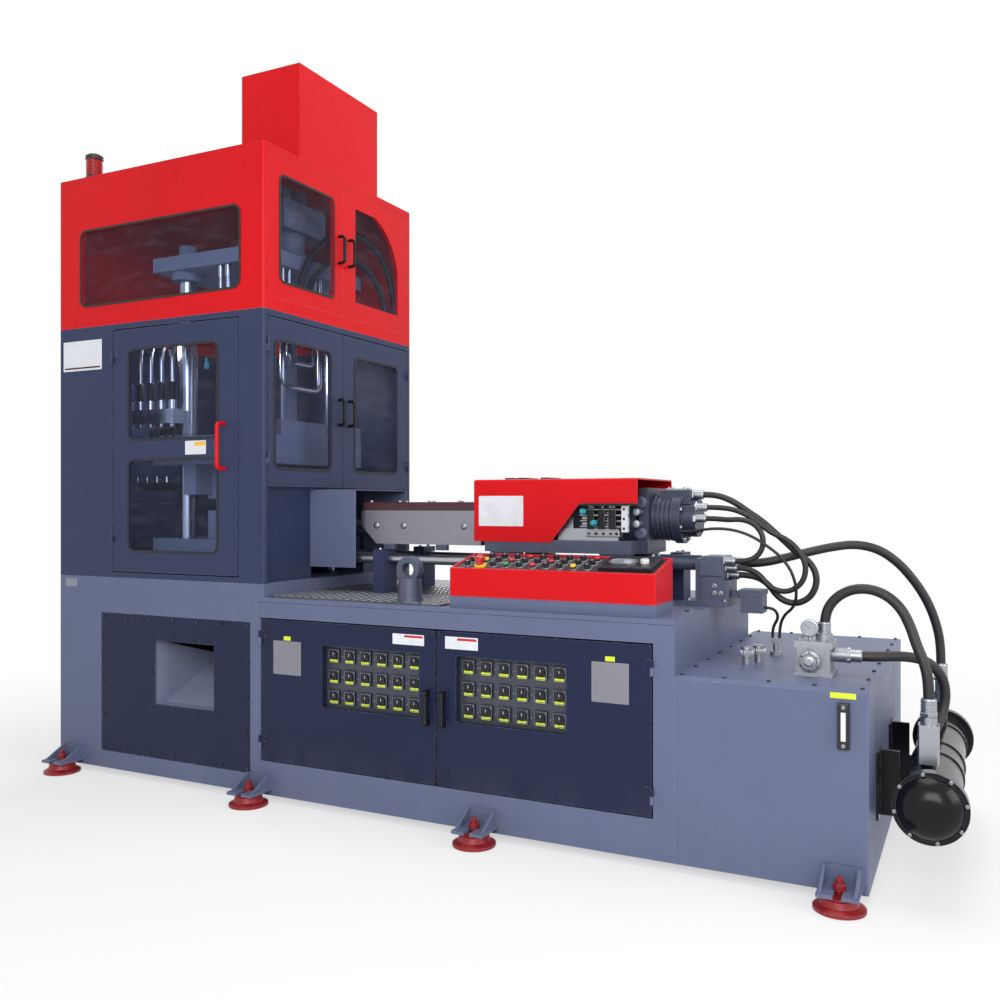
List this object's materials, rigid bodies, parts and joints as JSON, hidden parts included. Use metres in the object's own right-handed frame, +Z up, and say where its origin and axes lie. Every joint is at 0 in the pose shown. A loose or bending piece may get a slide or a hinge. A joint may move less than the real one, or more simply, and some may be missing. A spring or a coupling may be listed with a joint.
{
  "type": "injection stretch blow molding machine",
  "caption": "Stretch blow moulding machine with a guarded press tower, a horizontal injection unit on a bed, a control console, an oil tank and an oil cooler.",
  "frame": {"origin": "centre of the footprint on the floor, between the outer feet", "axes": "+X from the press tower to the oil tank, front with the console at -Y, +Z up"},
  "size_m": [4.155, 1.6896, 3.4],
  "materials": {
    "tower_paint": "satin dark blue-grey paint",
    "plinth_paint": "satin blue-grey paint",
    "panel_paint": "satin navy paint",
    "chute_sheet": "satin blue-grey sheet",
    "red_paint": "gloss red paint",
    "door_glass": "clear guard glazing",
    "guard_paint": "satin dark grey paint",
    "beacon_lens": "clear red lens on a black base",
    "bright_steel": "ground and chromed steel",
    "press_paint": "satin grey paint on machined plates",
    "bed_paint": "satin blue-grey paint",
    "controller_plastic": "black controllers on a grey plate",
    "checker_steel": "five-bar tread plate",
    "cover_steel": "brushed sheet with a painted lid strip",
    "carriage_iron": "painted and machined castings",
    "hood_paint": "gloss red paint",
    "valve_steel": "machined valve block",
    "console_paint": "gloss red paint above a blue-grey base",
    "console_plate": "satin plate with a dark screen recess",
    "button_plastic": "coloured push buttons",
    "eye_steel": "dark blue-grey painted casting",
    "tank_paint": "satin blue-grey paint",
    "gauge_plastic": "clear gauge in a black frame",
    "fitting_steel": "machined steel and cast aluminium",
    "cooler_paint": "gloss black paint",
    "bracket_paint": "satin blue-grey paint",
    "pad_paint": "dark red paint",
    "hose_rubber": "black hydraulic hose"
  },
  "bodies": {
    "machine": {"front_wall": "tower_paint", "side_wall": "tower_paint", "back_walls": "tower_paint", "plinth_walls": "plinth_paint", "plinth_cover_panel": "panel_paint", "discharge_chute": "chute_sheet", "upper_housing": "red_paint", "upper_doors": "red_paint", "top_box": "red_paint", "upper_glass": "door_glass", "nozzle_guard": "guard_paint", "beacon": "beacon_lens", "tie_bars": "bright_steel", "guide_rails": "bright_steel", "stretch_rods": "bright_steel", "injection_barrel": "bright_steel", "inner_pipes": "bright_steel", "platens": "press_paint", "clamp_cylinder": "press_paint", "hose_brackets": "press_paint", "bed_frame": "bed_paint", "bed_top_plate": "bed_paint", "controller_panels": "controller_plastic", "checker_plate": "checker_steel", "barrel_cover": "cover_steel", "injection_carriage": "carriage_iron", "hydraulic_motor": "carriage_iron", "rear_bracket": "carriage_iron", "injection_hood": "hood_paint", "valve_manifold": "valve_steel", "control_console": "console_paint", "console_panel": "console_plate", "console_buttons": "button_plastic", "eye_post": "eye_steel", "oil_tank": "tank_paint", "tank_cover": "tank_paint", "level_gauge": "gauge_plastic", "tank_fittings": "fitting_steel", "hose_fittings": "fitting_steel", "oil_cooler": "cooler_paint", "mount_brackets": "bracket_paint", "mount_pads": "pad_paint", "hose_filter_top": "hose_rubber", "hose_filter_side": "hose_rubber", "hose_return": "hose_rubber", "hose_loop_a": "hose_rubber", "hose_loop_b": "hose_rubber", "hose_loop_c": "hose_rubber", "cable_motor": "hose_rubber", "cable_junction": "hose_rubber", "hose_clamp_a": "hose_rubber", "hose_clamp_b": "hose_rubber"},
    "front_guard_door": {"front_guard_door": "tower_paint", "front_door_glass": "door_glass"},
    "side_door_near": {"side_door_near": "tower_paint", "side_glass_near": "door_glass"},
    "side_door_far": {"side_door_far": "tower_paint", "side_glass_far": "door_glass"},
    "cabinet_door_left": {"cabinet_door_left": "panel_paint"},
    "cabinet_door_right": {"cabinet_door_right": "panel_paint"}
  },
  "joints": [
    {"name": "front_guard_door_hinge", "type": "hinge", "parent": "machine", "child": "front_guard_door", "pos_m": [-1.7065, -0.693, 1.58], "axis": [0, 0, -1], "range_deg": [0, 110]},
    {"name": "side_door_near_hinge", "type": "hinge", "parent": "machine", "child": "side_door_near", "pos_m": [-0.7575, -0.66, 1.78], "axis": [0, 0, -1], "range_deg": [0, 100]},
    {"name": "side_door_far_hinge", "type": "hinge", "parent": "machine", "child": "side_door_far", "pos_m": [-0.7575, 0.507, 1.78], "axis": [0, 0, 1], "range_deg": [0, 100]},
    {"name": "cabinet_door_left_hinge", "type": "hinge", "parent": "machine", "child": "cabinet_door_left", "pos_m": [-0.7815, -0.693, 0.5], "axis": [0, 0, -1], "range_deg": [0, 110]},
    {"name": "cabinet_door_right_hinge", "type": "hinge", "parent": "machine", "child": "cabinet_door_right", "pos_m": [1.0345, -0.693, 0.5], "axis": [0, 0, 1], "range_deg": [0, 110]}
  ]
}
